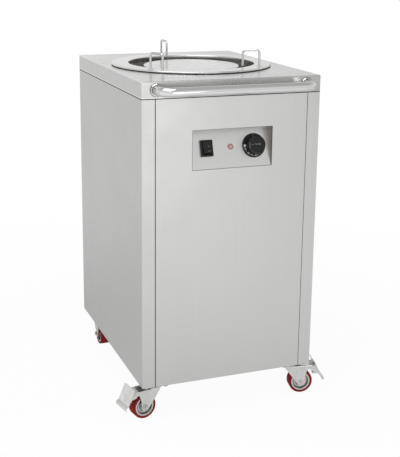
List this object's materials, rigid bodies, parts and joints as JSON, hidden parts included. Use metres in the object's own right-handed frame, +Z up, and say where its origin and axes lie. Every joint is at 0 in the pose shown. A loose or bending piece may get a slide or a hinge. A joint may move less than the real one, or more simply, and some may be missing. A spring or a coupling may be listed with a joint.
{
  "type": "plate dispenser cart",
  "caption": "Heated stainless steel plate dispenser cart: round sprung plate well under a raised ring, swinging rod guides, push handle, recessed controls and swivel casters.",
  "frame": {"origin": "on the floor, under the centre of the bounding box of the whole cart at rest", "axes": "-Y is the front, where the handle and the controls are; +X is the right side for a person who faces the front; +Z is up"},
  "size_m": [0.6012, 0.698, 0.952],
  "materials": {
    "cabinet_steel": "satin",
    "polished_steel": "polished",
    "ring_steel": "polished",
    "well_steel": "satin",
    "galvanised_steel": "dull galvanised",
    "spring_steel": "satin",
    "zinc_plate": "zinc plated",
    "fastener_steel": "zinc plated",
    "black_plastic": "semi-gloss",
    "knob_plastic": "satin",
    "gland_plastic": "matte",
    "terminal_plastic": "gloss",
    "lens_red": "clear red",
    "nylon": "satin",
    "bush_steel": "satin",
    "element_steel": "heat darkened",
    "wheel_grey": "satin",
    "tyre_red": "matte",
    "thermostat_zinc": "satin"
  },
  "bodies": {
    "cabinet": {"top_cover": "cabinet_steel", "left_side_panel": "cabinet_steel", "right_side_panel": "cabinet_steel", "front_panel": "cabinet_steel", "back_panel": "cabinet_steel", "base_pan": "galvanised_steel", "caster_backing_plates": "galvanised_steel", "control_recess": "cabinet_steel", "switch_housing": "black_plastic", "pilot_lamp_bezel": "polished_steel", "pilot_lamp_lens": "lens_red", "thermostat_body": "thermostat_zinc", "handle_tube": "polished_steel", "handle_escutcheons": "polished_steel", "handle_screws": "fastener_steel", "flange_ring": "ring_steel", "plate_tube": "well_steel", "well_base": "galvanised_steel", "well_legs": "galvanised_steel", "spring_guide_tube": "galvanised_steel", "lift_spring": "spring_steel", "guide_bushes": "bush_steel", "heating_element": "element_steel", "element_brackets": "galvanised_steel", "terminal_block": "terminal_plastic", "cable_gland": "gland_plastic", "back_panel_screws": "fastener_steel", "caster_bolts": "fastener_steel", "front_left_caster_plate": "zinc_plate", "front_right_caster_plate": "zinc_plate", "rear_left_caster_plate": "zinc_plate", "rear_right_caster_plate": "zinc_plate"},
    "platform": {"plate_platform": "ring_steel", "platform_carrier": "galvanised_steel", "carrier_runners": "nylon"},
    "thermostat_knob": {"thermostat_knob": "knob_plastic", "thermostat_spindle": "fastener_steel"},
    "switch_rocker": {"switch_rocker": "black_plastic"},
    "left_plate_guide": {"left_plate_guide": "polished_steel"},
    "right_plate_guide": {"right_plate_guide": "polished_steel"},
    "rear_plate_guide": {"rear_plate_guide": "polished_steel"},
    "front_left_swivel": {"front_left_caster_fork": "zinc_plate", "front_left_axle_bolt": "fastener_steel"},
    "front_left_wheel": {"front_left_wheel_hub": "wheel_grey", "front_left_wheel_tyre": "tyre_red"},
    "front_right_swivel": {"front_right_caster_fork": "zinc_plate", "front_right_axle_bolt": "fastener_steel"},
    "front_right_wheel": {"front_right_wheel_hub": "wheel_grey", "front_right_wheel_tyre": "tyre_red"},
    "rear_left_swivel": {"rear_left_caster_fork": "zinc_plate", "rear_left_axle_bolt": "fastener_steel"},
    "rear_left_wheel": {"rear_left_wheel_hub": "wheel_grey", "rear_left_wheel_tyre": "tyre_red"},
    "rear_right_swivel": {"rear_right_caster_fork": "zinc_plate", "rear_right_axle_bolt": "fastener_steel"},
    "rear_right_wheel": {"rear_right_wheel_hub": "wheel_grey", "rear_right_wheel_tyre": "tyre_red"},
    "front_left_brake_pedal": {"front_left_brake_pedal": "zinc_plate"},
    "front_right_brake_pedal": {"front_right_brake_pedal": "zinc_plate"}
  },
  "joints": [
    {"name": "platform_slide", "type": "slide", "parent": "cabinet", "child": "platform", "axis": [0, 0, 1], "range_m": [-0.45, 0], "stiffness_N_per_m": 850, "springref_m": 0.045, "deforming": ["lift_spring"]},
    {"name": "thermostat_turn", "type": "hinge", "parent": "cabinet", "child": "thermostat_knob", "pos_m": [0.065, -0.27198, 0.72225], "axis": [0, 0.9563, -0.2924], "range_deg": [0, 270]},
    {"name": "switch_rock", "type": "hinge", "parent": "cabinet", "child": "switch_rocker", "pos_m": [-0.066, -0.27485, 0.72313], "axis": [1, 0, 0], "range_deg": [0, 18]},
    {"name": "left_guide_swing", "type": "hinge", "parent": "cabinet", "child": "left_plate_guide", "pos_m": [-0.15918, -0.10336, 0.9], "axis": [0, 0, 1], "range_deg": [0, 102]},
    {"name": "right_guide_swing", "type": "hinge", "parent": "cabinet", "child": "right_plate_guide", "pos_m": [0.14408, -0.12058, 0.9], "axis": [0, 0, -1], "range_deg": [-66, 24]},
    {"name": "rear_guide_swing", "type": "hinge", "parent": "cabinet", "child": "rear_plate_guide", "pos_m": [-0.02041, 0.22197, 0.9], "axis": [0, 0, 1], "range_deg": [-86, 4]},
    {"name": "front_left_swivel", "type": "hinge", "parent": "cabinet", "child": "front_left_swivel", "pos_m": [-0.201, -0.247, 0.0835], "axis": [0, 0, 1], "continuous": true},
    {"name": "front_right_swivel", "type": "hinge", "parent": "cabinet", "child": "front_right_swivel", "pos_m": [0.201, -0.247, 0.0835], "axis": [0, 0, 1], "continuous": true},
    {"name": "rear_left_swivel", "type": "hinge", "parent": "cabinet", "child": "rear_left_swivel", "pos_m": [-0.201, 0.289, 0.0835], "axis": [0, 0, 1], "continuous": true},
    {"name": "rear_right_swivel", "type": "hinge", "parent": "cabinet", "child": "rear_right_swivel", "pos_m": [0.201, 0.289, 0.0835], "axis": [0, 0, 1], "continuous": true},
    {"name": "front_left_wheel_spin", "type": "hinge", "parent": "front_left_swivel", "child": "front_left_wheel", "pos_m": [-0.23241, -0.25311, 0.0335], "axis": [-0.1908, 0.9816, 0], "continuous": true},
    {"name": "front_right_wheel_spin", "type": "hinge", "parent": "front_right_swivel", "child": "front_right_wheel", "pos_m": [0.23241, -0.25311, 0.0335], "axis": [-0.1908, -0.9816, 0], "continuous": true},
    {"name": "rear_left_wheel_spin", "type": "hinge", "parent": "rear_left_swivel", "child": "rear_left_wheel", "pos_m": [-0.201, 0.257, 0.0335], "axis": [1, 0, 0], "continuous": true},
    {"name": "rear_right_wheel_spin", "type": "hinge", "parent": "rear_right_swivel", "child": "rear_right_wheel", "pos_m": [0.201, 0.257, 0.0335], "axis": [1, 0, 0], "continuous": true},
    {"name": "front_left_brake", "type": "hinge", "parent": "front_left_swivel", "child": "front_left_brake_pedal", "pos_m": [-0.26382, -0.25921, 0.073], "axis": [0.1908, -0.9816, 0], "range_deg": [0, 15]},
    {"name": "front_right_brake", "type": "hinge", "parent": "front_right_swivel", "child": "front_right_brake_pedal", "pos_m": [0.26382, -0.25921, 0.073], "axis": [0.1908, 0.9816, 0], "range_deg": [0, 15]}
  ]
}
